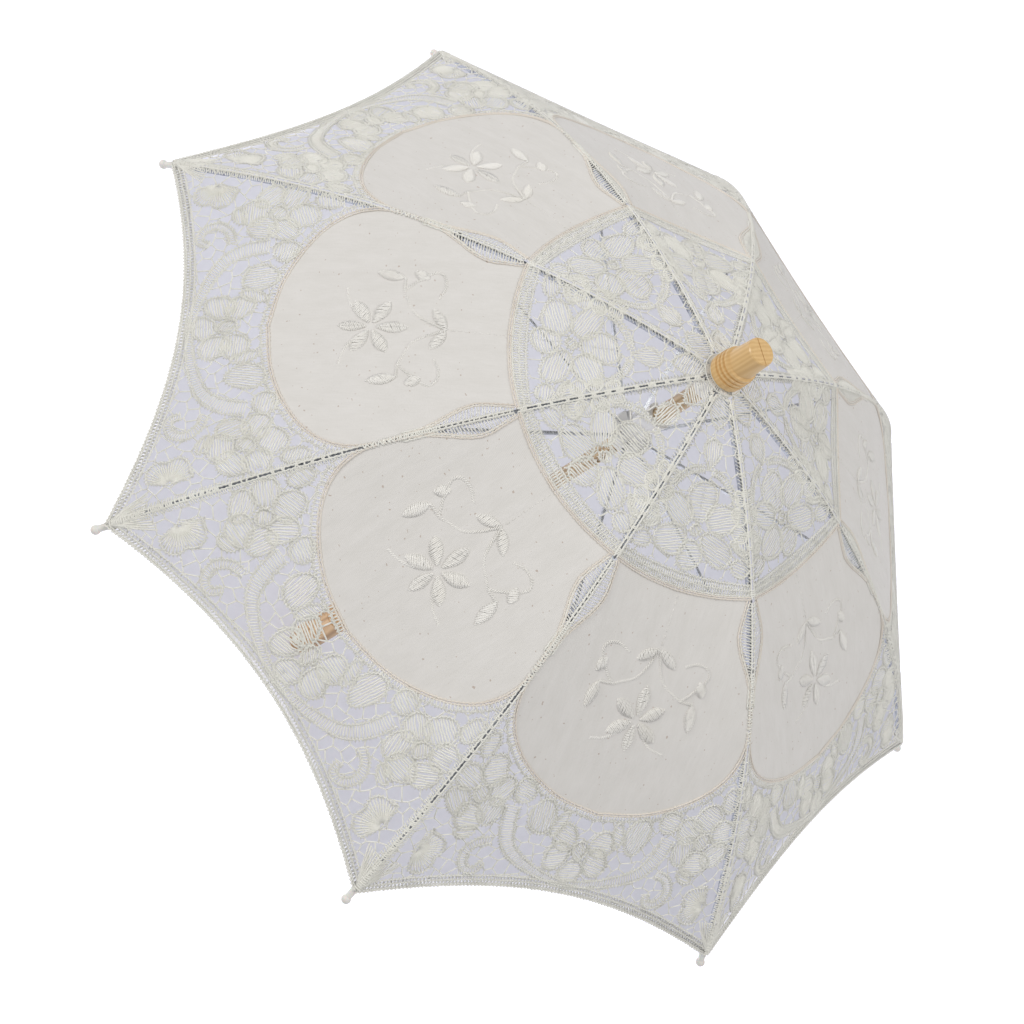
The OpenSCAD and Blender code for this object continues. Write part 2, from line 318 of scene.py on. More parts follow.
def satin(threads, poly, turn, gap=1.18, lift=0.12, radius=THREAD, puff=0.2, loose=0.3):
    """Parallel threads across a shape, raised in the middle."""
    a = math.radians(turn)
    axis = np.array([[math.cos(a), -math.sin(a)], [math.sin(a), math.cos(a)]])
    p = poly @ axis
    nxt = np.roll(p, -1, 0)
    for y in np.arange(p[:, 1].min() + gap * 0.4, p[:, 1].max(), gap):
        hit = (p[:, 1] > y) != (nxt[:, 1] > y)
        xs = np.sort(
            p[hit, 0]
            + (y - p[hit, 1]) * (nxt[hit, 0] - p[hit, 0]) / (nxt[hit, 1] - p[hit, 1])
        )
        for x0, x1 in zip(xs[::2], xs[1::2]):
            if x1 - x0 < 0.7:
                continue
            n = max(4, int((x1 - x0) / 3) + 2)
            t = np.linspace(0, 1, n)
            line = np.stack(
                [
                    x0 + (x1 - x0) * t,
                    y + rng.normal(0, loose * gap * 0.5, n),
                ],
                1,
            )
            bow = np.sin(math.pi * t) ** 0.6 * puff * min(1, (x1 - x0) / 6)
            threads.gore(line @ axis.T, lift + bow, radius)


def ribbon(threads, path, width, rung=1.2, lift=0.15, radius=FINE, edge=CORD, slant=0.5):
    """A scroll: threads across a path, with a cord along each edge."""
    p = even(path, rung)
    width = np.atleast_1d(width)
    w = np.interp(np.linspace(0, 1, len(p)), np.linspace(0, 1, len(width)), width)
    s = side_of(p) * w[:, None] / 2
    left, right = p + s, p - s
    shift = np.roll(np.arange(len(p)), -1)
    shift[-1] = len(p) - 1
    for i in range(len(p)):
        b = right[i] * (1 - slant) + right[shift[i]] * slant
        line = left[i] + (b - left[i]) * np.linspace(0, 1, 4)[:, None]
        line += rng.normal(0, 0.07, line.shape)
        threads.gore(line, lift + np.array([0, 0.15, 0.15, 0]), radius)
    if edge:
        cord(threads, left, lift + 0.15, edge)
        cord(threads, right, lift + 0.15, edge)


def net(threads, area, holes, cell, seed, radius=0.35):
    """An uneven honeycomb of fine threads over an area, left out where the motifs are."""
    rnd = np.random.default_rng(seed)
    side = cell / math.sqrt(3)
    dx, dm = cell, 1.5 * side
    rows, cols = int(270 / dm) + 2, int(120 / dx) + 2
    knots = {}

    def knot(i, j, part):
        key = (i, j, part)
        if key not in knots:
            x = (i + 0.5 * (j % 2)) * dx
            m = j * dm + (side * 0.5 if part else -side * 0.5)
            knots[key] = np.array([x, m]) + rnd.normal(0, cell * 0.14, 2)
        return knots[key]

    lines = []
    for j in range(rows):
        for i in range(-cols, cols):
            low, high = knot(i, j, 0), knot(i, j, 1)
            lines.append((low, high))
            e = i + (j % 2)
            lines.append((high, knot(e, j + 1, 0)))
            lines.append((high, knot(e - 1, j + 1, 0)))
    n = 9
    t = np.linspace(0, 1, n)[None, :, None]
    ends = np.array(lines)
    pts = ends[:, :1] * (1 - t) + ends[:, 1:] * t
    flat = pts.reshape(-1, 2)
    ok = area(flat)
    for poly in holes:
        lo, hi = poly.min(0), poly.max(0)
        near = np.flatnonzero(ok & np.all((flat > lo) & (flat < hi), axis=1))
        ok[near[inside(flat[near], poly)]] = False
    ok = ok.reshape(-1, n)
    for row, good in zip(pts, ok):
        edges = np.flatnonzero(np.diff(np.concatenate([[0], good.astype(int), [0]])))
        for a, b in zip(edges[::2], edges[1::2]):
            a, b = max(0, a - 1), min(n, b + 1)
            if b - a > 2:
                pick = np.unique(np.linspace(a, b - 1, 4).astype(int))
                threads.gore(row[pick], 0.0, radius)


def fan(threads, centre, size, s):
    """A lobed leaf of threads that spread from one point towards the middle of the gore."""
    c = on_gore([centre])[0]
    a = np.radians(np.linspace(95, 250, 64))
    reach = size * (0.78 + 0.22 * np.abs(np.sin(1.25 * (a - a[0]) * 2)))
    rim = c + np.stack([s * np.cos(a) * reach, np.sin(a) * reach], 1)
    for k in range(1, len(rim) - 1, 3):
        line = c + (rim[k] - c) * np.linspace(0.12, 0.98, 5)[:, None]
        line = line + rng.normal(0, 0.1, line.shape)
        threads.gore(line, np.array([0.3, 0.45, 0.4, 0.3, 0.15]), THREAD)
    for share in (0.45, 0.72):
        threads.gore(c + (rim - c) * share, 0.1, FINE)
    cord(threads, np.concatenate([rim, c[None]]), 0.34, closed=True)
    return np.concatenate([rim, c[None]])


def motif(threads, poly, turn, lift=0.34):
    """A shape filled with parallel threads inside a cord. It gives the shape back."""
    satin(threads, poly, turn)
    cord(threads, poly, lift, closed=True)
    return poly


def flower(threads, centre, petals, eye):
    """Lace petals round an eye. A petal is (x, r, across, along, turn)."""
    polys = []
    cx, cr = centre
    for x, r, w, h, turn in petals:
        poly = oval(x, r, w * 1.12, h * 1.12, turn)
        polys.append(motif(threads, poly, turn + rng.uniform(-14, 14)))
    ring = oval(cx, cr, eye * 2, eye * 2)
    cord(threads, ring, 0.5, closed=True)
    satin(threads, ring, 40, 1.0)
    polys.append(ring)
    return polys


# ---------------------------------------------------------------- the cotton petal


PETAL_SIDE = on_gore(
    [
        (34.3, 96.4),
        (34.3, 100),
        (35, 111),
        (38.5, 118.5),
        (44, 125.5),
        (50, 134),
        (54.6, 144),
        (57.6, 153),
        (57.8, 161),
        (55, 169),
        (48.5, 176.5),
        (40, 182.3),
        (30, 187),
        (18, 190.5),
        (0.001, 193),
    ]
)


def petal_top(x):
    """The petal's top edge at x, as m."""
    r = np.full(np.shape(x), 97.0)
    for _ in range(4):
        r = 95.6 + 4.3 * (1 - np.minimum(1, (x / half_width(r)) ** 2))
    return arc_of(r)


PETAL_EDGE = spline(PETAL_SIDE, 1.6)
TOP_X = np.linspace(0, PETAL_EDGE[0, 0], 24)
PETAL_POLY = np.concatenate(
    [np.stack([TOP_X, petal_top(TOP_X)], 1)[:-1], PETAL_EDGE]
)
PETAL_POLY = np.concatenate([PETAL_POLY, mirror(PETAL_POLY)[::-1][1:-1]])


def cotton_half(across=26):
    """Half of a petal as a grid of x and m, from its middle line to its edge."""
    edge = PETAL_EDGE
    m0, m1 = edge[0, 1], edge[-1, 1]
    share = (edge[:, 1] - m0) / (m1 - m0)
    top = petal_top(np.array([0.0]))[0]
    u = np.linspace(0, 1, across) ** 0.9
    x = edge[:, :1] * u
    m = (top + (m1 - top) * share)[:, None] * (1 - u) + edge[:, 1:] * u
    bow = petal_top(x[0]) - m[0]
    return x, m + bow[None] * (1 - share[:, None]) ** 4


def cotton_mesh(thick=0.32):
    """Both half petals that one rib carries, as thin closed sheets, with x and m kept as UV."""
    verts, quads, uvs, base = [], [], [], 0
    x, m = cotton_half()
    rows, cols = x.shape
    wave = 0.16 * np.sin(x / 7.0 + m / 11.0) * np.sin(m / 9.0 - x / 16.0)
    r = radius_of(m)
    i, j = np.meshgrid(np.arange(rows - 1), np.arange(cols - 1), indexing="ij")
    a = (i * cols + j).ravel()
    grid = np.stack([a, a + 1, a + cols + 1, a + cols], 1)
    rim = np.concatenate(
        [
            np.arange(cols - 1),
            np.arange(rows - 1) * cols + cols - 1,
            (rows - 1) * cols + np.arange(cols - 1, 0, -1),
            np.arange(rows - 1, 0, -1) * cols,
        ]
    )
    n = rows * cols
    for sign in (-1, 1):
        q = sign * (x - half_width(r))
        for lift in (thick / 2, -thick / 2):
            p, _ = on_cover(q.ravel(), r.ravel(), (wave + lift).ravel())
            verts.append(p)
            uvs.append(np.stack([sign * x.ravel(), m.ravel()], 1))
        top = grid if sign > 0 else grid[:, ::-1]
        wall = np.stack([rim, rim + n, np.roll(rim, -1) + n, np.roll(rim, -1)], 1)
        wall = wall if sign > 0 else wall[:, ::-1]
        quads += [top[:, ::-1] + base, top + n + base, wall[:, ::-1] + base]
        base += 2 * n
    return np.concatenate(verts), np.concatenate(quads), np.concatenate(uvs)


def embroidery():
    t = Threads()
    e = dict(gap=0.72, lift=0.16, radius=0.4, puff=0.3, loose=0.22)
    cx, cr = 0.0, 154.8
    for tip, w in (
        ((0, 140.2), 5.6),
        ((0, 167.4), 5.0),
        ((12.6, 148.2), 5.6),
        ((12.6, 161.6), 5.6),
        ((-12.6, 148.2), 5.6),
        ((-12.6, 161.6), 5.6),
    ):
        d = np.array([tip[0] - cx, tip[1] - cr])
        s = np.array([cx, cr]) + d * 0.1
        poly = leaf(s[0], s[1], tip[0], tip[1], w, fat=0.25)
        satin(t, poly, math.degrees(math.atan2(d[1], d[0])) + 62, **e)
    for s in (1, -1):
        for x0, r0, x1, r1, w, slant in (
            (24.4, 143.2, 26.8, 154.8, 5.2, 58),
            (24.4, 133.8, 27.6, 140.0, 4.8, 58),
            (0.8, 125.2, 10.2, 131.4, 4.6, 62),
        ):
            turn = math.degrees(math.atan2(r1 - r0, s * (x1 - x0))) + s * slant
            satin(t, leaf(s * x0, r0, s * x1, r1, w), turn, **e)
        for stem in (
            [(0, 125), (3.5, 133), (7.5, 138.5), (14, 141.5), (18, 143.2), (24, 143.4)],
            [(18, 143.2), (22, 139.5), (24.8, 136)],
            [(26.5, 134.2), (27.8, 130.5), (25, 127.6), (20, 127.2), (15, 129.2)],
            [(3.2, 157.6), (8, 162), (13, 164.4), (18.5, 165.4)],
        ):
            ribbon(t, spline(on_gore(stem) * [s, 1]), 1.2, 1.05, 0.12, 0.3, 0, 1.4)
    path = even(on_gore([(0, 101.5), (0.001, 125)]), 0.5)
    for k in range(0, len(path) - 4, 6):
        t.gore(path[k : k + 4] + [0.02, 0], 0.2, 0.16)
    return t


def piping():
    t = Threads(clear=0.45)
    for s in (1, -1):
        edge = PETAL_EDGE * [s, 1]
        out = side_of(edge) * -s
        for d, rad in ((-0.1, 0.46), (0.95, 0.44)):
            cord(t, edge + out * d, 0.35, rad, step=0.95, wobble=0.1, wrap=0)
    top_x = np.linspace(-35.5, 35.5, 60)
    top = np.stack([top_x, petal_top(top_x)], 1)
    for d in (-0.2, -1.15):
        cord(t, top + [0, d], 0.4, 0.42, step=0.9, wobble=0.1, wrap=0)
    return t


def overcast():
    """Short white stitches that hold the petal's lower edge to the lace."""
    t = Threads()
    edge = even(PETAL_EDGE, 1.45)
    out = -side_of(edge)
    for i, (p, n) in enumerate(zip(edge, out)):
        if p[1] < arc_of(150):
            continue
        for s in (1, -1):
            reach = 3.6 + 0.9 * (i % 2) + rng.uniform(-0.3, 0.3)
            line = np.stack([p + n * 0.9, p + n * (0.5 * reach) + [0.25, 0], p + n * reach])
            t.gore(line * [s, 1], np.array([0.5, 0.45, 0.15]), FINE)
    line = edge[edge[:, 1] > arc_of(152)]
    for s in (1, -1):
        cord(t, (line - side_of(line) * 3.6) * [s, 1], 0.2, 0.3, wrap=0.7)
    return t


# ---------------------------------------------------------------- the lace


def band_edge(x, low, rise):
    r = np.full(np.shape(x), 92.0)
    for _ in range(4):
        r = low + rise * (1 - np.minimum(1, (x / half_width(r)) ** 2))
    return arc_of(r)


def crown_lace():
    t = Threads(clear=1.0)
    holes = []
    for poly, turn in (
        (leaf(0, 9.5, 0, 27, 11, blunt=0.9), 24),
        (leaf(0, 46, 0, 31, 9.5, blunt=0.8, fat=0.4), 84),
    ):
        holes.append(motif(t, poly, turn))
    holes += flower(
        t,
        (0, 73),
        [
            (0, 60, 12.5, 17, 0),
            (11.6, 65.6, 15, 11.5, -24),
            (-10.8, 66.4, 14, 11.5, 28),
            (12.4, 79.2, 15.5, 11, 26),
            (-11.6, 80, 15, 12, -22),
            (0, 84.2, 11.5, 11, 0),
        ],
        2.6,
    )
    for s in (1, -1):
        for path, w in (
            ([(2, 46), (7, 47.5), (12, 51), (16.5, 56.5), (19, 63)], 2.4),
            ([(19, 73), (22.5, 76.5), (27, 78), (31, 82)], 2.2),
        ):
            p = spline(on_gore(path) * [s, 1])
            ribbon(t, p, w)
        for x, r, w, h, turn in ((24.3, 74, 9, 8, 60), (26.4, 84, 10, 7.5, 10)):
            holes.append(motif(t, oval(s * x, r, w, h, s * turn), s * turn, 0.3))
    for low, high, cell in ((CROWN_EDGE_R, 30, 5.0), (29, 90, 7.6)):
        net(
            t,
            lambda p: (p[:, 1] > arc_of(low))
            & (p[:, 1] < np.minimum(arc_of(high), band_edge(p[:, 0], 89.4, 2.0))),
            holes,
            cell,
            seed=3,
        )
    # the band that joins the crown to the petals
    x = np.linspace(-37, 37, 75)
    upper = np.stack([x, band_edge(x, 90.0, 2.2)], 1)
    lower = np.stack([x, petal_top(x) - 1.9], 1)
    cord(t, upper, 0.35, 0.42, wobble=0.3)
    cord(t, (upper + lower) / 2, 0.3, 0.34, wobble=0.3, wrap=1.1)
    cord(t, lower, 0.35, 0.36, wobble=0.15)
    up, low = even(upper, 1.2), even(lower, 1.2)
    low = low[np.linspace(0, len(low) - 1, len(up)).astype(int)]
    for a, b in zip(up, low):
        line = a + (b - a) * np.linspace(0, 1, 3)[:, None] + rng.normal(0, 0.08, (3, 2))
        t.gore(line, 0.2, THREAD)
    return t


def outer_area(p):
    r = radius_of(p[:, 1])
    v = np.minimum(1, np.abs(p[:, 0]) / np.maximum(half_width(r), 0.1))
    return (r > 153.5) & (r < HEM_MID_R - 3.6 + HEM_DIP_R * v**2)


def outer_lace():
    t = Threads(clear=1.0)
    holes = [PETAL_POLY]
    holes += flower(
        t,
        (0, 208.2),
        [
            (9.6, 204.4, 11, 9, -14),
            (-9.6, 204.4, 11, 9, 14),
            (10, 211.8, 11, 9.4, 22),
            (-10, 211.8, 11, 9.4, -22),
            (0, 216.8, 10, 8, 0),
        ],
        3.6,
    )
    for s in (1, -1):
        # loops with upright threads
        holes.append(motif(t, oval(s * 24.6, 198.6, 12.6, 14.2, s * -10), 90 + s * 8))
        holes.append(motif(t, oval(s * 37.6, 190.4, 10.4, 9.6, s * 16), 10))
        # the main scroll and the hooked one beside it
        for path, w in (
            (
                [(40.5, 197), (39.6, 203), (37, 209), (32.6, 213.6)]
                + [(25, 217), (16, 219.6), (7, 221.2), (0.001, 221.6)],
                [6.6, 6.8, 6.4, 5.6, 4.8, 3.8, 3.2, 3.0],
            ),
            (
                [(43, 211), (49.5, 213.2), (52.8, 218.2), (50, 223), (44.8, 223.4), (42.8, 219.8)],
                [3.4, 3.6, 3.8, 3.6, 3.2, 2.6],
            ),
        ):
            p = spline(on_gore(path) * [s, 1])
            ribbon(t, p, np.array(w))
            wide = np.interp(np.linspace(0, 1, len(p)), np.linspace(0, 1, len(w)), w)
            n = side_of(p) * wide[:, None] / 2
            holes.append(np.concatenate([p + n, (p - n)[::-1]]))
        # the flower beside the rib
        holes += flower(
            t,
            (s * 57.5, 195.2),
            [
                (s * 55.6, 186.0, 11.5, 10.4, s * 10),
                (s * 48.8, 192.4, 10.5, 10, s * 40),
                (s * 50.2, 200.6, 11, 9.4, s * 70),
                (s * 58.6, 204.4, 11.5, 9.6, s * -10),
                (s * 66.4, 199.4, 10.5, 9.4, s * -50),
                (s * 65.6, 190.4, 10.5, 9.6, s * -20),
            ],
            3.4,
        )
        holes.append(fan(t, (s * 75.0, 220.0), 13.0, s))
        # small leaves that fill the corner above the scroll
        for x0, r0, x1, r1, w in (
            (13, 194.6, 17.5, 205.5, 5.4),
            (60.5, 172, 64.5, 182.5, 7),
            (61.5, 211.5, 52.5, 208.6, 5),
        ):
            holes.append(motif(t, leaf(s * x0, r0, s * x1, r1, w, blunt=0.6), 15 * s))
    net(t, outer_area, holes, 6.6, seed=8)
    return t


def hem():
    """The scalloped edge: three cords with a lattice of stitches between them."""
    t = Threads(clear=0.3)
    v = np.linspace(-1, 1, 181)
    r = HEM_MID_R + HEM_DIP_R * v**2
    rim = np.stack([v * half_width(r), arc_of(r)], 1)
    rim[:, 1] -= 0.6
    for d, rad in ((0, 0.5), (0.9, 0.4), (2.9, 0.34), (5.0, 0.38)):
        cord(t, rim - [0, d], 0.3, rad, wobble=0.2, wrap=0.7 if d > 2 else 0)
    p = even(rim, 0.8)
    swing = zigzag(len(p), 0.9, 5.0)
    t.gore(p - np.stack([0 * swing, swing], 1), 0.15, FINE)
    swing = zigzag(len(p), 3.0, 0.4)
    t.gore(p - np.stack([0 * swing, swing], 1), 0.35, FINE)
    return t


def rib_seam():
    """Tapes beside each rib with whip stitches over it, and the openings where the rib is bare."""
    t = Threads()
    edge_r = radius_of(PETAL_EDGE[:, 1])
    gap = half_width(edge_r) - PETAL_EDGE[:, 0]
    # the crown: a cord and a zigzag on both sides, and stitches over the rib
    m = np.arange(arc_of(11.5), arc_of(96), 0.75)
    r = radius_of(m)
    swing = zigzag(len(m))
    t.both(0.82 + 0.12 * swing, r, 0.45, 0.44)
    q = np.where(swing > 0, 1.0, 2.9 * np.minimum(1, r / 30 + 0.2))
    t.both(q + rng.normal(0, 0.1, len(m)), r, 0.2, FINE)

    def over_rib(r0, reach=1.7):
        j = rng.uniform(-0.7, 0.7)
        t.rib(
            reach * np.array([-1, -0.35, 0.35, 1]),
            [r0 - j, r0 - j / 3, r0 + j / 3, r0 + j],
            [0.3, 0.6, 0.6, 0.3],
            THREAD,
        )

    r0 = 13.0
    while r0 < 94:
        for _ in range(rng.integers(2, 6)):
            r0 += 0.75
            over_rib(r0)
        r0 += rng.uniform(1.2, 5.5)
    # the openings
    m = np.arange(arc_of(97), arc_of(140), 1.25)
    r = radius_of(m)
    outer = np.interp(r, edge_r[:24], gap[:24]) - 0.9
    inner = np.maximum(0.7, outer - 7)
    ok = outer > inner + 0.3
    for a, b, rr in zip(outer[ok], inner[ok], r[ok]):
        for s in (1, -1):
            q = s * np.linspace(a, b, 3)
            t.rib(q, rr + rng.normal(0, 0.12, 3), [0.1, 0.25, 0.2], FINE)
    for edge in (outer, inner):
        q = edge[ok] + 0.14 * zigzag(ok.sum())
        t.both(q, r[ok], 0.32, CORD)
    # stitches across the rib along the opening and between the petals
    for r0 in np.arange(98.5, 127, 2.3):
        over_rib(r0 + rng.uniform(-0.5, 0.5), 1.4)
    for r0 in np.arange(127, 154, 0.85):
        over_rib(r0 + rng.uniform(-0.2, 0.2), 1.5)
    # the tapes of the outer lace, and stitches over the rib that crowd towards its end
    m = np.arange(arc_of(154), arc_of(238), 1.05)
    r = radius_of(m)
    far = np.interp(r, [154, 166, 226, 238], [1.2, 2.6, 3.2, 2.4])
    for a, rr in zip(far, r):
        for s in (1, -1):
            q = s * np.linspace(0.9, a, 3)
            t.rib(q, rr + rng.normal(0, 0.15, 3), [0.25, 0.35, 0.2], FINE)
    swing = 0.15 * zigzag(len(r))
    t.both(0.85 + swing, r, 0.4, 0.42)
    r0 = 156.0
    while r0 < 237:
        r0 += rng.uniform(1.2, 5.5) if r0 < 200 else rng.uniform(0.7, 1.6)
        over_rib(r0)
        if rng.random() < 0.6:
            over_rib(r0 + 0.6)
    return t


def rib_flower():
    """Small round motifs that lie over the rib in the crown."""
    t = Threads()
    for q0, r0, w, h in ((4.6, 62.5, 7, 7), (5.2, 70, 7.5, 7), (3.2, 54.5, 4.6, 6.5)):
        a = np.linspace(0, 2 * math.pi, 19)
        t.both(q0 + w / 2 * np.cos(a), r0 + h / 2 * np.sin(a), 0.3, CORD)
        for y in np.arange(-h / 2 + 0.5, h / 2, 0.95):
            x = w / 2 * math.sqrt(max(0.02, 1 - (2 * y / h) ** 2))
            q = q0 + np.linspace(-x, x, 4)
            t.both(q, r0 + y + np.array([-0.3, -0.1, 0.1, 0.3]), [0.15, 0.45, 0.45, 0.15], FINE)
    return t


def tip_wrap():
    """Cover gathered and bound round the rib's end, under its cap."""
    t = Threads()
    turns, n = 7, 12
    a = np.linspace(0, 2 * math.pi * turns, turns * n)
    r = np.linspace(233.5, 238.6, len(a))
    p, nrm = on_cover(0 * a, r, 0 * a - 1.5)
    side = np.array([0.0, 1.0, 0.0])
    rad = 2.15 + 0.15 * np.sin(a * 0.37)
    out = np.cos(a)[:, None] * nrm + np.sin(a)[:, None] * side
    t.runs.append((p + rad[:, None] * out, out, np.full(len(a), 0.38)))
    for q0 in np.linspace(-8.5, 8.5, 13):
        r = np.linspace(226.5, 238.0, 7)
        s = np.linspace(1, 0, 7)
        q = q0 * s**0.8 + 0.5 * np.sign(q0)
        t.rib(q, r, 0.25 + 0.25 * np.sin(s * 9 + q0), THREAD)
    return t


def crown_gather():
    """The cover's middle, gathered under the finial. It stays on the shaft."""
    runs = []
    for k in range(56):
        a = k * 2 * math.pi / 56 + rng.normal(0, 0.01)
        r = np.linspace(4.7, 10.4, 5)
        z = -drop(r) + 0.35 * np.sin(np.linspace(0, 3, 5)) + 0.1 * (k % 2)
        p = np.stack([r * math.cos(a), r * math.sin(a), z], 1)
        runs.append((p, np.tile([0.15, 0, 1.0], (5, 1)), np.full(5, 0.3)))
    for r0, rad in ((5.0, 0.36), (7.6, 0.3), (9.9, 0.36)):
        a = np.linspace(0, 2 * math.pi, 97)
        w = r0 + 0.12 * zigzag(97)
        p = np.stack([w * np.cos(a), w * np.sin(a), 0 * a - drop(r0) + 0.45], 1)
        runs.append((p, np.tile([0, 0, 1.0], (97, 1)), np.full(97, rad)))
    return runs


# ---------------------------------------------------------------- materials


class Nodes:
    """A short way to write a node tree."""

    def __init__(self, name, tint):
        self.mat = bpy.data.materials.new(name)
        self.mat.use_nodes = True
        self.mat.diffuse_color = (*tint, 1)
        self.tree = self.mat.node_tree
        self.shader = self.tree.nodes["Principled BSDF"]

    def add(self, kind, out=0, props=None, **inputs):
        node = self.tree.nodes.new(kind)
        for k, v in (props or {}).items():
            setattr(node, k, v)
        for k, v in inputs.items():
            self.put(node.inputs[k.replace("_", " ")], v)
        return node.outputs[out]

    def put(self, socket, value):
        if isinstance(value, bpy.types.NodeSocket):
            self.tree.links.new(value, socket)
        else:
            socket.default_value = value

    def surface(self, **inputs):
        for k, v in inputs.items():
            self.put(self.shader.inputs[k.replace("_", " ")], v)
        return self.mat

    def coords(self, out="Object"):
        return self.tree.nodes.new("ShaderNodeTexCoord").outputs[out]

    def scaled(self, vector, scale):
        return self.add("ShaderNodeMapping", Vector=vector, Scale=scale)

    def noise(self, vector, scale, detail=3.0, rough=0.55):
        return self.add("ShaderNodeTexNoise", Vector=vector, Scale=scale, Detail=detail, Roughness=rough)

    def ramp(self, fac, *stops):
        node = self.tree.nodes.new("ShaderNodeValToRGB")
        self.put(node.inputs[0], fac)
        el = node.color_ramp.elements
        while len(el) < len(stops):
            el.new(0.5)
        for e, (pos, col) in zip(el, stops):
            e.position, e.color = pos, (*col, 1)
        return node.outputs[0]

    def math(self, op, a, b=0.0):
        node = self.tree.nodes.new("ShaderNodeMath")
        node.operation = op
        self.put(node.inputs[0], a)
        self.put(node.inputs[1], b)
        return node.outputs[0]

    def mix(self, fac, a, b, mode="MIX"):
        node = self.tree.nodes.new("ShaderNodeMix")
        node.data_type, node.blend_type = "RGBA", mode
        self.put(node.inputs[0], fac)
        self.put(node.inputs[6], a)
        self.put(node.inputs[7], b)
        return node.outputs[2]

    def bump(self, height, strength, distance, normal=None):
        node = self.tree.nodes.new("ShaderNodeBump")
        self.put(node.inputs["Height"], height)
        node.inputs["Strength"].default_value = strength
        node.inputs["Distance"].default_value = distance
        if normal is not None:
            self.put(node.inputs["Normal"], normal)
        return node.outputs[0]


def srgb(r, g, b):
    """A colour given as it looks on a screen, 0 to 255."""
    return tuple(
        c / 12.92 if c <= 0.04045 else ((c + 0.055) / 1.055) ** 2.4
        for c in (r / 255, g / 255, b / 255)
    )


def thread_material(name, dark, light, rough=0.5, sheen=0.35):
    n = Nodes(name, light)
    co = n.coords()
    fine = n.noise(co, 2600.0, 2.0)
    broad = n.noise(co, 55.0, 2.0)
    tone = n.math("ADD", n.math("MULTIPLY", fine, 0.55), n.math("MULTIPLY", broad, 0.45))
    colour = n.ramp(tone, (0.3, dark), (0.68, light))
    ply = n.add(
        "ShaderNodeTexWave",
        props={"bands_direction": "DIAGONAL"},
        Vector=co,
        Scale=900.0,
        Distortion=2.5,
        Detail=1.0,
    )
    return n.surface(
        Base_Color=colour,
        Roughness=rough,
        Sheen_Weight=sheen,
        Sheen_Roughness=0.4,
        Specular_IOR_Level=0.45,
        Normal=n.bump(ply, 0.5, 0.00012),
    )


def cotton_material():
    n = Nodes("cotton_cloth", srgb(224, 221, 215))
    uv, co = n.coords("UV"), n.coords()
    # uv counts decimetres, so these bands are the cloth's own threads
    bands = dict(Vector=uv, Scale=46.0, Distortion=0.6, Detail=1.0)
    warp = n.add("ShaderNodeTexWave", props={"bands_direction": "X"}, **bands)
    weft = n.add("ShaderNodeTexWave", props={"bands_direction": "Y"}, **bands)
    weave = n.math("MAXIMUM", warp, weft)
    slub = n.noise(n.scaled(uv, (150.0, 16.0, 1.0)), 1.0, 3.0)
    crease = n.noise(n.scaled(uv, (18.0, 6.0, 1.0)), 1.0, 4.0)
    fleck = n.noise(co, 700.0, 0.5, 0.4)
    spots = n.ramp(fleck, (0.775, (0, 0, 0)), (0.80, (1, 1, 1)))
    # the crease noise also sets the colour: painted shade in the creases' hollows and painted highlight on
    # their ridges; the slubs add the cloth's own uneven tone
    tone = n.math("ADD", n.math("MULTIPLY", slub, 0.35), n.math("MULTIPLY", crease, 0.65))
    cloth = n.ramp(tone, (0.35, srgb(221, 218, 212)), (0.68, srgb(228, 225, 220)))
    colour = n.mix(n.math("MULTIPLY", spots, 0.45), cloth, (*srgb(150, 112, 78), 1))
    normal = n.bump(weave, 0.35, 0.00012)
    normal = n.bump(slub, 0.06, 0.0003, normal)
    normal = n.bump(crease, 0.35, 0.0011, normal)
    return n.surface(
        Base_Color=colour,
        Roughness=0.88,
        Sheen_Weight=0.18,
        Sheen_Roughness=0.5,
        Specular_IOR_Level=0.25,
        Normal=normal,
    )


def wood_material(name, dark, mid, light, rough=0.38, coat=0.35, grain=1.0):
    n = Nodes(name, mid)
    co = n.coords()
    long = n.scaled(co, (420.0 * grain, 420.0 * grain, 24.0 * grain))
    streak = n.noise(long, 1.0, 4.0, 0.6)
    rings = n.add(
        "ShaderNodeTexWave",
        props={"bands_direction": "X"},
        Vector=n.scaled(co, (70.0 * grain, 45.0 * grain, 6.0 * grain)),
        Scale=1.6,
        Distortion=5.0,
        Detail=2.0,
    )
    tone = n.math("ADD", n.math("MULTIPLY", streak, 0.6), n.math("MULTIPLY", rings, 0.4))
    colour = n.ramp(tone, (0.22, dark), (0.5, mid), (0.78, light))
    return n.surface(
        Base_Color=colour,
        Roughness=rough,
        Coat_Weight=coat,
        Coat_Roughness=0.25,
        Normal=n.bump(streak, 0.3, 0.00015),
    )


def steel_material(name, dark, light, rough=0.32, metal=1.0):
    n = Nodes(name, light)
    co = n.coords()
    scratch = n.noise(co, 700.0, 4.0, 0.6)
    patch = n.noise(co, 60.0, 2.0)
    tone = n.math("ADD", n.math("MULTIPLY", scratch, 0.5), n.math("MULTIPLY", patch, 0.5))
    return n.surface(
        Base_Color=n.ramp(tone, (0.35, dark), (0.62, light)),
        Metallic=metal,
        Roughness=n.math("ADD", n.math("MULTIPLY", scratch, 0.25), rough - 0.12),
        Normal=n.bump(scratch, 0.15, 0.0001),
    )


def plastic_material(name, dark, light, glow=0.0):
    n = Nodes(name, light)
    co = n.coords()
    cloud = n.noise(co, 180.0, 3.0)
    return n.surface(
        Base_Color=n.ramp(cloud, (0.35, dark), (0.65, light)),
        Roughness=0.35,
        Subsurface_Weight=glow,
        Subsurface_Scale=0.002,
        Normal=n.bump(n.noise(co, 1500.0, 2.0), 0.12, 0.0001),
    )


LACE = thread_material("lace_thread", srgb(232, 230, 220), srgb(249, 248, 240))
SILK = thread_material("embroidery_thread", srgb(240, 237, 229), srgb(252, 250, 245), 0.4, 0.5)
CREAM = thread_material("piping_thread", srgb(228, 219, 206), srgb(241, 234, 223), 0.55)
COTTON = cotton_material()

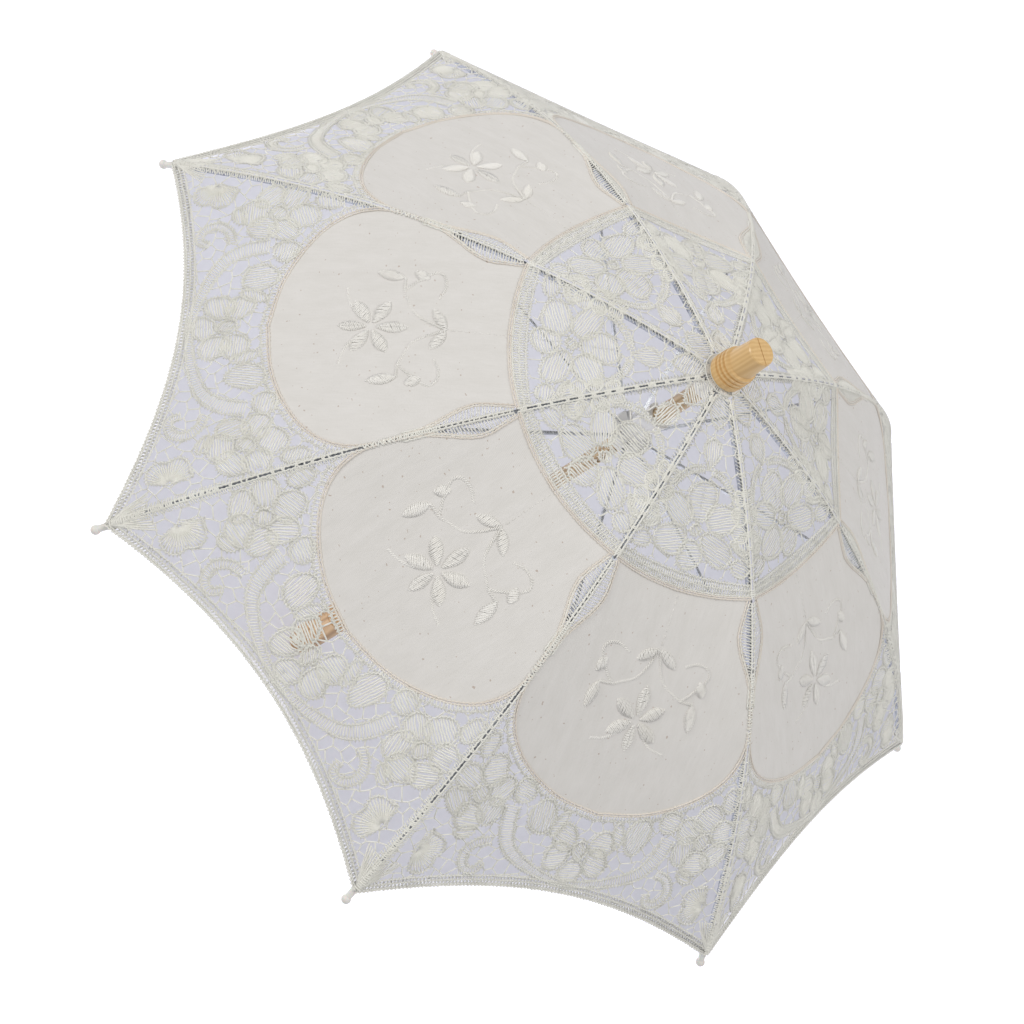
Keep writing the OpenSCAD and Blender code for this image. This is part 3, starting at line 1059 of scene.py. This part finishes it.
WOOD = {
    "shaft": wood_material(
        "shaft_wood", srgb(166, 138, 98), srgb(194, 166, 124), srgb(210, 186, 148), 0.45, 0.2
    ),
    "handle": wood_material(
        "handle_wood", srgb(160, 124, 84), srgb(188, 152, 108), srgb(204, 172, 130), 0.45, 0.2, 0.7
    ),
    "finial": wood_material(
        "finial_wood", srgb(216, 175, 114), srgb(224, 184, 122), srgb(230, 193, 134), 0.36, 0.4, 1.5
    ),
}
RIB_STEEL = steel_material("rib_steel", srgb(118, 122, 130), srgb(190, 194, 200), 0.3)
STRETCHER_STEEL = steel_material("stretcher_steel", srgb(158, 161, 166), srgb(214, 217, 221), 0.28)
RIVET_STEEL = steel_material("rivet_steel", srgb(120, 122, 126), srgb(184, 186, 190), 0.3)
WIRE = steel_material("binding_wire", srgb(120, 120, 122), srgb(180, 180, 180), 0.35)
BLACK = steel_material("catch_steel", srgb(28, 29, 32), srgb(52, 54, 58), 0.4, 0.7)
CAP = plastic_material("cap_plastic", srgb(222, 220, 212), srgb(238, 236, 229), 0.15)
RUNNER = plastic_material("runner_plastic", srgb(232, 232, 229), srgb(244, 244, 242))


def finish_node(name, material):
    node = nodes[name]
    node.data.materials.clear()
    node.data.materials.append(material)


for name in ("shaft", "handle", "finial"):
    finish_node(name, WOOD[name])
for name in ("top_notch", "runner"):
    finish_node(name, RUNNER)
for name in ("notch_wire", "notch_pin", "runner_wire"):
    finish_node(name, WIRE)
for name in ("catch", "catch_pin"):
    finish_node(name, BLACK)
for k in range(1, RIBS + 1):
    finish_node(f"rib_{k}", RIB_STEEL)
    finish_node(f"stretcher_{k}", STRETCHER_STEEL)
    finish_node(f"rivet_{k}", RIVET_STEEL)
    finish_node(f"tip_{k}", CAP)


# ---------------------------------------------------------------- pieces


def build(name, verts, quads, material, uv=None, sharp_rim=False):
    """An object from vertices in millimetres and quads."""
    me = bpy.data.meshes.new(name)
    me.vertices.add(len(verts))
    me.vertices.foreach_set("co", (verts * MM).astype(np.float32).ravel())
    me.loops.add(quads.size)
    me.loops.foreach_set("vertex_index", quads.astype(np.int32).ravel())
    me.polygons.add(len(quads))
    me.polygons.foreach_set("loop_start", np.arange(len(quads), dtype=np.int32) * 4)
    me.update(calc_edges=True)
    if uv is not None:
        layer = me.uv_layers.new(name="cut")
        layer.data.foreach_set("uv", (uv[quads.ravel()] * 0.01).astype(np.float32).ravel())
    me.validate()
    me.polygons.foreach_set("use_smooth", np.ones(len(me.polygons), bool))
    if sharp_rim:
        me.set_sharp_from_angle(angle=math.radians(50))
    me.materials.append(material)
    obj = bpy.data.objects.new(name, me)
    bpy.context.scene.collection.objects.link(obj)
    return obj


def rib_turn(k):
    """Turns row vectors from the first rib to rib k + 1."""
    c, s = math.cos(k * STEP), math.sin(k * STEP)
    return np.array([[c, s, 0], [-s, c, 0], [0, 0, 1]])


def fold(obj):
    """Gives a piece of rib k + 1's cover a mesh of its own."""
    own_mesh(obj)


def per_rib(kind, verts, quads, material, slot, **how):
    """One piece for each rib, riding on it."""
    made = []
    for k in range(RIBS):
        obj = build(f"{kind}_{k + 1}", verts @ rib_turn(k) + [0, 0, CROWN_Z], quads, material, **how)
        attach(obj, f"rib_{k + 1}_body")
        fold(obj)
        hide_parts(f"canopy_{k + 1}")
        made.append(obj)
    return made


for kind, threads, material, slot in (
    ("lace_crown", crown_lace(), LACE, "lace"),
    ("lace_outer", outer_lace(), LACE, "lace"),
    ("lace_hem", hem(), LACE, "lace"),
    ("lace_seam", rib_seam(), LACE, "lace"),
    ("lace_rib_flower", rib_flower(), LACE, "lace"),
    ("lace_tip_wrap", tip_wrap(), LACE, "lace"),
    ("overcast", overcast(), LACE, "lace"),
    ("piping", piping(), CREAM, "piping"),
    ("embroidery", embroidery(), SILK, "lace"),
):
    verts, quads = tube_mesh(threads.runs)
    per_rib(kind, verts, quads, material, slot)

verts, quads, uv = cotton_mesh()
cotton = per_rib("cotton", verts, quads, COTTON, "cotton", uv=uv, sharp_rim=True)

verts, quads = tube_mesh(crown_gather())
gather = build("lace_gather", verts + [0, 0, CROWN_Z], quads, LACE)
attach(gather, "shaft_body")
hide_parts("canopy_crown")


# ---------------------------------------------------------------- the studio

FLOOR_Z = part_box("handle")[0].z - 0.0005


def floor():
    me = bpy.data.meshes.new("floor")
    half = 30.0
    corners = [(-half, -half), (half, -half), (half, half), (-half, half)]
    me.from_pydata([(x, y, FLOOR_Z) for x, y in corners], [], [(0, 1, 2, 3)])
    n = Nodes("floor_paper", (0.9, 0.9, 0.9))
    grain = n.noise(n.coords(), 220.0, 2.0)
    me.materials.append(
        n.surface(
            Base_Color=n.ramp(grain, (0.3, (0.765, 0.76, 0.82)), (0.7, (0.785, 0.78, 0.84))),
            Roughness=0.95,
            Specular_IOR_Level=0.1,
            Emission_Color=(0.9, 0.92, 1.0, 1),
            Emission_Strength=0.03,
        )
    )
    obj = bpy.data.objects.new("floor", me)
    bpy.context.scene.collection.objects.link(obj)
    return obj


floor_obj = floor()

CROWN = Vector((0, 0, CROWN_Z * MM))
EYE = CROWN + Vector((-0.18167, 0.49144, 0.48713))
AIM = CROWN + Vector((-0.03054, 0.07842, -0.07200))
ROLL = math.radians(-58.033)


def look(obj, eye, aim, roll=0.0):
    """Stands a camera or light at eye, turned towards aim."""
    ahead = (aim - eye).normalized()
    up = Vector((0, 0, 1))
    up = (up - up.dot(ahead) * ahead).normalized()
    up = math.cos(roll) * up + math.sin(roll) * ahead.cross(up)
    right = ahead.cross(up)
    m = Matrix((right, up, -ahead)).transposed().to_4x4()
    obj.matrix_world = Matrix.Translation(eye) @ m


lens = bpy.data.cameras.new("camera")
lens.lens, lens.sensor_width = 57.08, 36.0
lens.clip_start, lens.clip_end = 0.02, 80
camera = bpy.data.objects.new("camera", lens)
bpy.context.scene.collection.objects.link(camera)
look(camera, EYE, AIM, ROLL)
bpy.context.scene.camera = camera
VIEW = camera.matrix_world.to_3x3()
PIC_RIGHT, PIC_UP, PIC_BACK = (VIEW.col[i].copy() for i in range(3))


def lit(light, floor_alone):
    """Lets a light shine on the floor alone, or on everything but the floor. It gives the group back."""
    group = bpy.data.collections.new(light.name + "_lit")
    group.objects.link(floor_obj)
    if not floor_alone:
        group.collection_objects[0].light_linking.link_state = "EXCLUDE"
    light.light_linking.receiver_collection = group
    return group


def disk_light(name, offset, size, power, colour):
    """A soft light placed by picture directions from the crown: right, up and towards the camera."""
    data = bpy.data.lights.new(name, "AREA")
    data.shape, data.size, data.energy, data.color = "DISK", size, power, colour
    obj = bpy.data.objects.new(name, data)
    bpy.context.scene.collection.objects.link(obj)
    eye = CROWN + PIC_RIGHT * offset[0] + PIC_UP * offset[1] + PIC_BACK * offset[2]
    look(obj, eye, CROWN)
    return obj


def shade(k):
    """A card under one rib's share of the cover. It stops the backdrop's lamp alone, so the floor that
    the camera sees through the lace lies in even shadow."""
    across, along = 33, 14
    v = np.linspace(-1, 1, across)
    rows = []
    for share in np.linspace(0, 1, along):
        near = 1 - np.abs(v)
        r = 0.5 + share * (HEM_MID_R - 1.5 + HEM_DIP_R * near**2)
        rows.append(on_cover(v * half_width(r), r, 0 * v - 0.3)[0])
    verts = np.concatenate(rows)
    i, j = np.meshgrid(np.arange(along - 1), np.arange(across - 1), indexing="ij")
    a = (i * across + j).ravel()
    quads = np.stack([a, a + across, a + across + 1, a + 1], 1)
    verts = verts @ rib_turn(k) + [0, 0, CROWN_Z]
    card = build(f"shade_card_{k + 1}", verts, quads, floor_obj.data.materials[0])
    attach(card, f"rib_{k + 1}_body")
    fold(card)
    for ray in ("camera", "diffuse", "glossy", "transmission", "volume_scatter"):
        setattr(card, "visible_" + ray, False)
    return card


def studio():
    world = bpy.data.worlds.new("studio")
    world.use_nodes = True
    world.node_tree.nodes["Background"].inputs[0].default_value = (0.965, 0.97, 1.0, 1)
    world.node_tree.nodes["Background"].inputs[1].default_value = 0.5
    bpy.context.scene.world = world
    lit(disk_light("key", (-1.6, 1.3, 1.8), 1.3, 27.5, (1.0, 0.985, 0.96)), False)
    lit(disk_light("fill", (2.2, 0.5, 1.6), 2.0, 26.0, (1.0, 0.99, 0.97)), False)
    lit(disk_light("low", (0.5, -2.0, 1.6), 2.0, 3.0, (1.0, 0.985, 0.97)), False)
    # the backdrop's own lamp stands at the camera, so the cover's shadow lies straight behind it,
    # and faces level, so that the floor is as bright far off as near by
    back = disk_light("backdrop_lamp", (0, 0, 0), 0.02, 20.0, (1, 1, 1))
    ahead = AIM - EYE
    look(back, EYE + PIC_BACK * 0.002, EYE + Vector((ahead.x, ahead.y, 0.2 * ahead.z)))
    back.data.use_nodes = True
    tree = back.data.node_tree
    falloff = tree.nodes.new("ShaderNodeLightFalloff")
    falloff.inputs["Strength"].default_value = 1.0
    tree.links.new(falloff.outputs["Constant"], tree.nodes["Emission"].inputs["Strength"])
    lit(back, True)
    # the backdrop is brightest behind the cover's upper left part
    toward = CROWN - 0.16 * PIC_RIGHT + 0.06 * PIC_UP - EYE
    beyond = EYE + toward * ((FLOOR_Z - EYE.z) / toward.z)
    glow = disk_light("backdrop_glow", (0, 0, 0), 0.3, 2.25, (0.97, 0.98, 1.0))
    look(glow, beyond + Vector((0.01, 0, 0.8)), beyond)
    glow.visible_camera = False
    glow.light_linking.blocker_collection = lit(glow, True)
    shades = bpy.data.collections.new("shades")
    for k in range(RIBS):
        shades.objects.link(shade(k))
    back.light_linking.blocker_collection = shades
    bpy.context.scene.view_settings.view_transform = "Standard"


studio()
